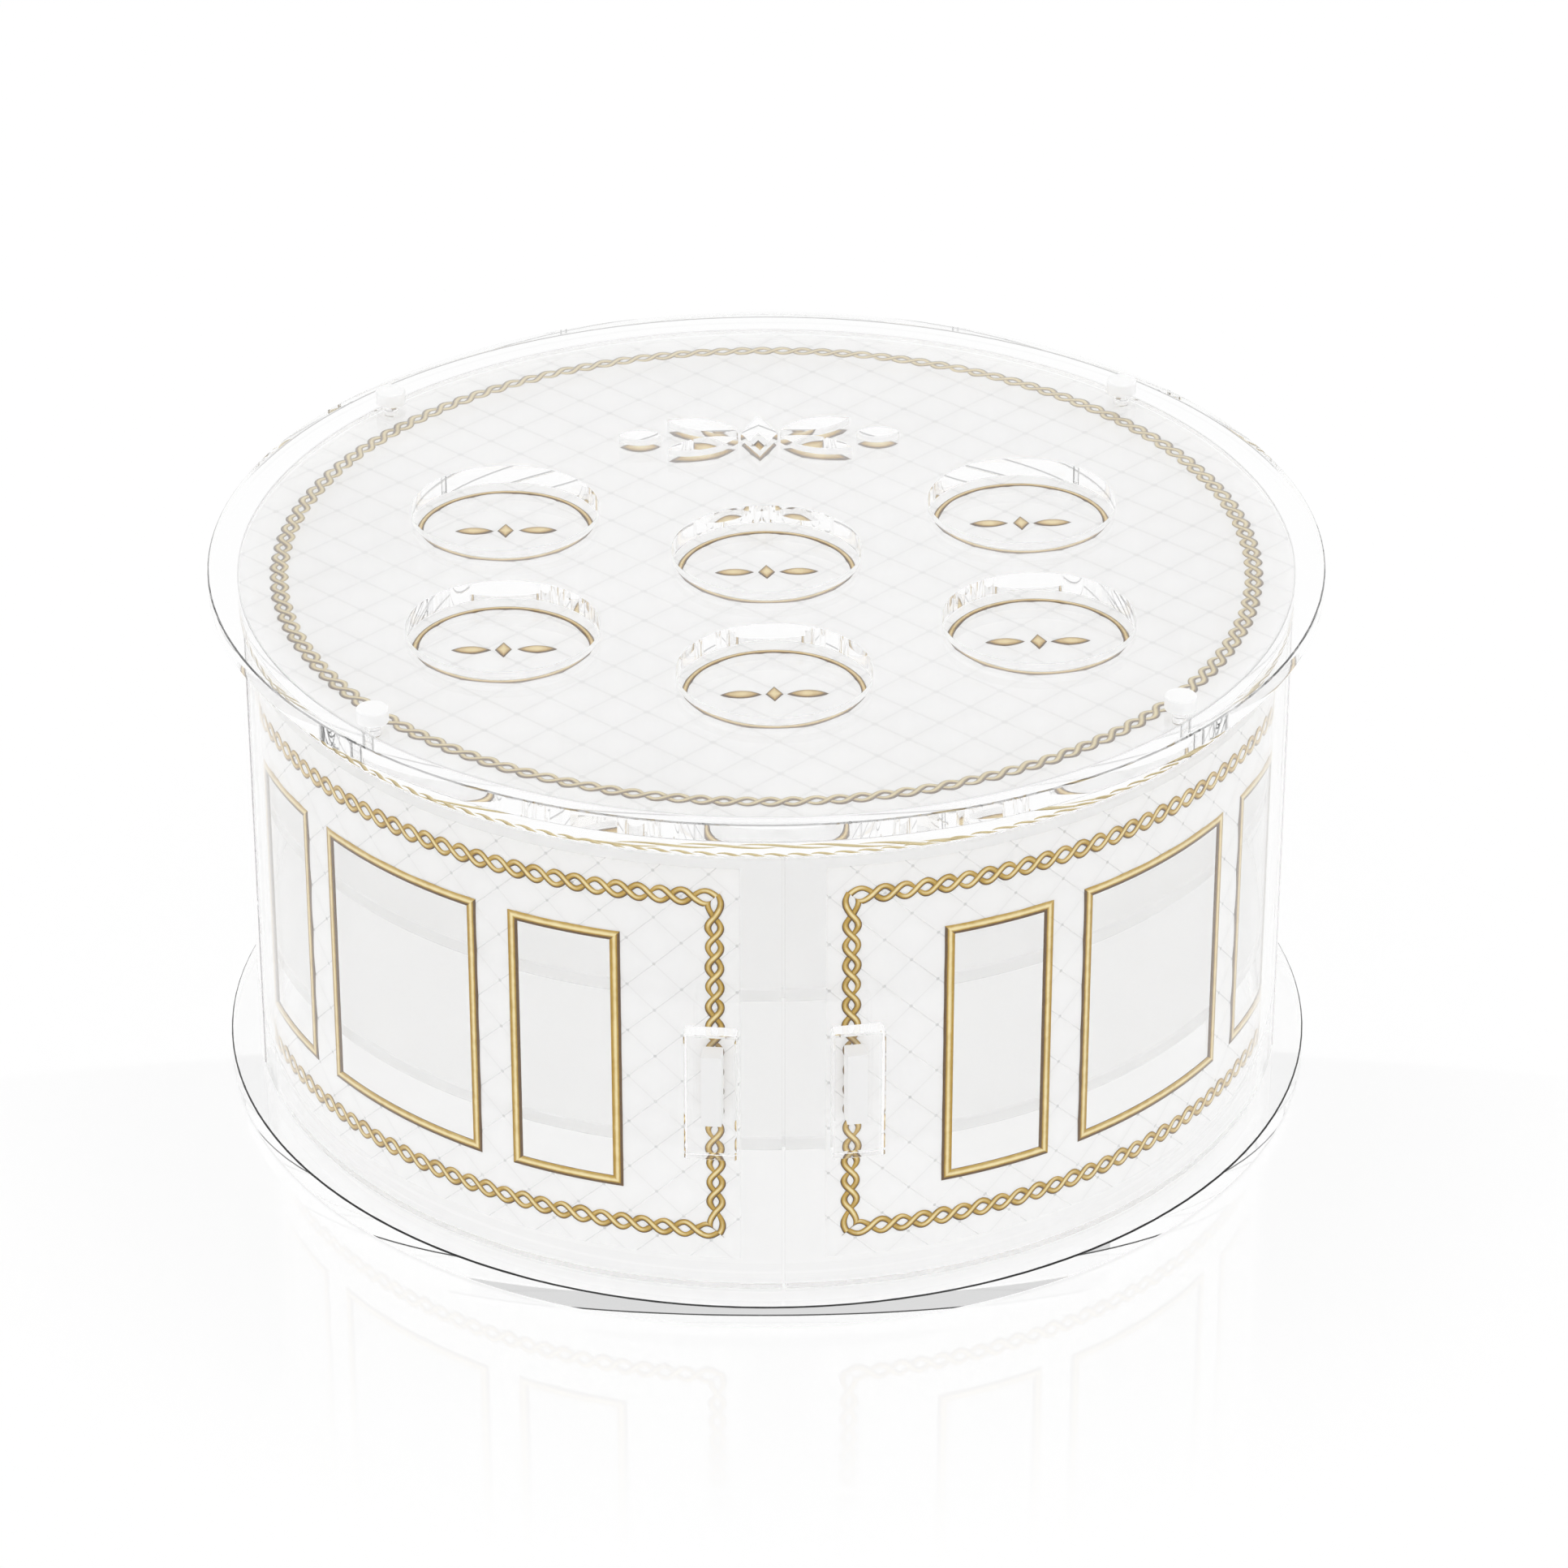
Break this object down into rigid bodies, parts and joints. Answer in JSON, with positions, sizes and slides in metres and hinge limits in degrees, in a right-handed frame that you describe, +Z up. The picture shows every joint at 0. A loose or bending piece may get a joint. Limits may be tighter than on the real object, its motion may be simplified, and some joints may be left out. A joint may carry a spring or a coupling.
{
  "type": "seder plate",
  "caption": "Round clear acrylic seder plate: a tray with dish wells on a drum cupboard for matzah, with curved swinging doors, shelves, quilted panels and gold trim.",
  "frame": {"origin": "centre of the base plate's underside, on the drum's axis", "axes": "+Z up, front with the door seam towards -Y"},
  "size_m": [0.3799, 0.3831, 0.1953],
  "materials": {
    "clear_acrylic": "polished clear acrylic",
    "quilted_sheet": "white diamond quilting with grey stitching",
    "gold_trim": "satin gold moulding and twist"
  },
  "bodies": {
    "cabinet": {"base_plate": "clear_acrylic", "back_wall": "clear_acrylic", "lower_shelf": "clear_acrylic", "upper_shelf": "clear_acrylic", "lid_floor": "clear_acrylic", "top_sheet": "quilted_sheet", "top_border": "gold_trim", "dish_rings": "gold_trim", "title_inlay": "gold_trim", "lid_cover": "clear_acrylic", "back_panel": "quilted_sheet", "back_frames": "gold_trim", "back_border": "gold_trim", "left_lower_pin": "clear_acrylic", "left_upper_pin": "clear_acrylic", "right_lower_pin": "clear_acrylic", "right_upper_pin": "clear_acrylic"},
    "left_door": {"left_door": "clear_acrylic", "left_door_panel": "quilted_sheet", "left_door_frames": "gold_trim", "left_door_border": "gold_trim", "left_pull_stem": "clear_acrylic", "left_pull_plate": "clear_acrylic"},
    "right_door": {"right_door": "clear_acrylic", "right_door_panel": "quilted_sheet", "right_door_frames": "gold_trim", "right_door_border": "gold_trim", "right_pull_stem": "clear_acrylic", "right_pull_plate": "clear_acrylic"},
    "tray": {"tray": "clear_acrylic", "tray_pegs": "clear_acrylic"}
  },
  "joints": [
    {"name": "right_door_swing", "type": "hinge", "parent": "cabinet", "child": "right_door", "pos_m": [0.17375, -0.0363, 0.0907], "axis": [0, 0, 1], "range_deg": [0, 95]},
    {"name": "left_door_swing", "type": "hinge", "parent": "cabinet", "child": "left_door", "pos_m": [-0.17375, -0.0363, 0.0907], "axis": [0, 0, -1], "range_deg": [0, 95]},
    {"name": "tray_lift", "type": "slide", "parent": "cabinet", "child": "tray", "axis": [0, 0, 1], "range_m": [0, 0.03]}
  ]
}
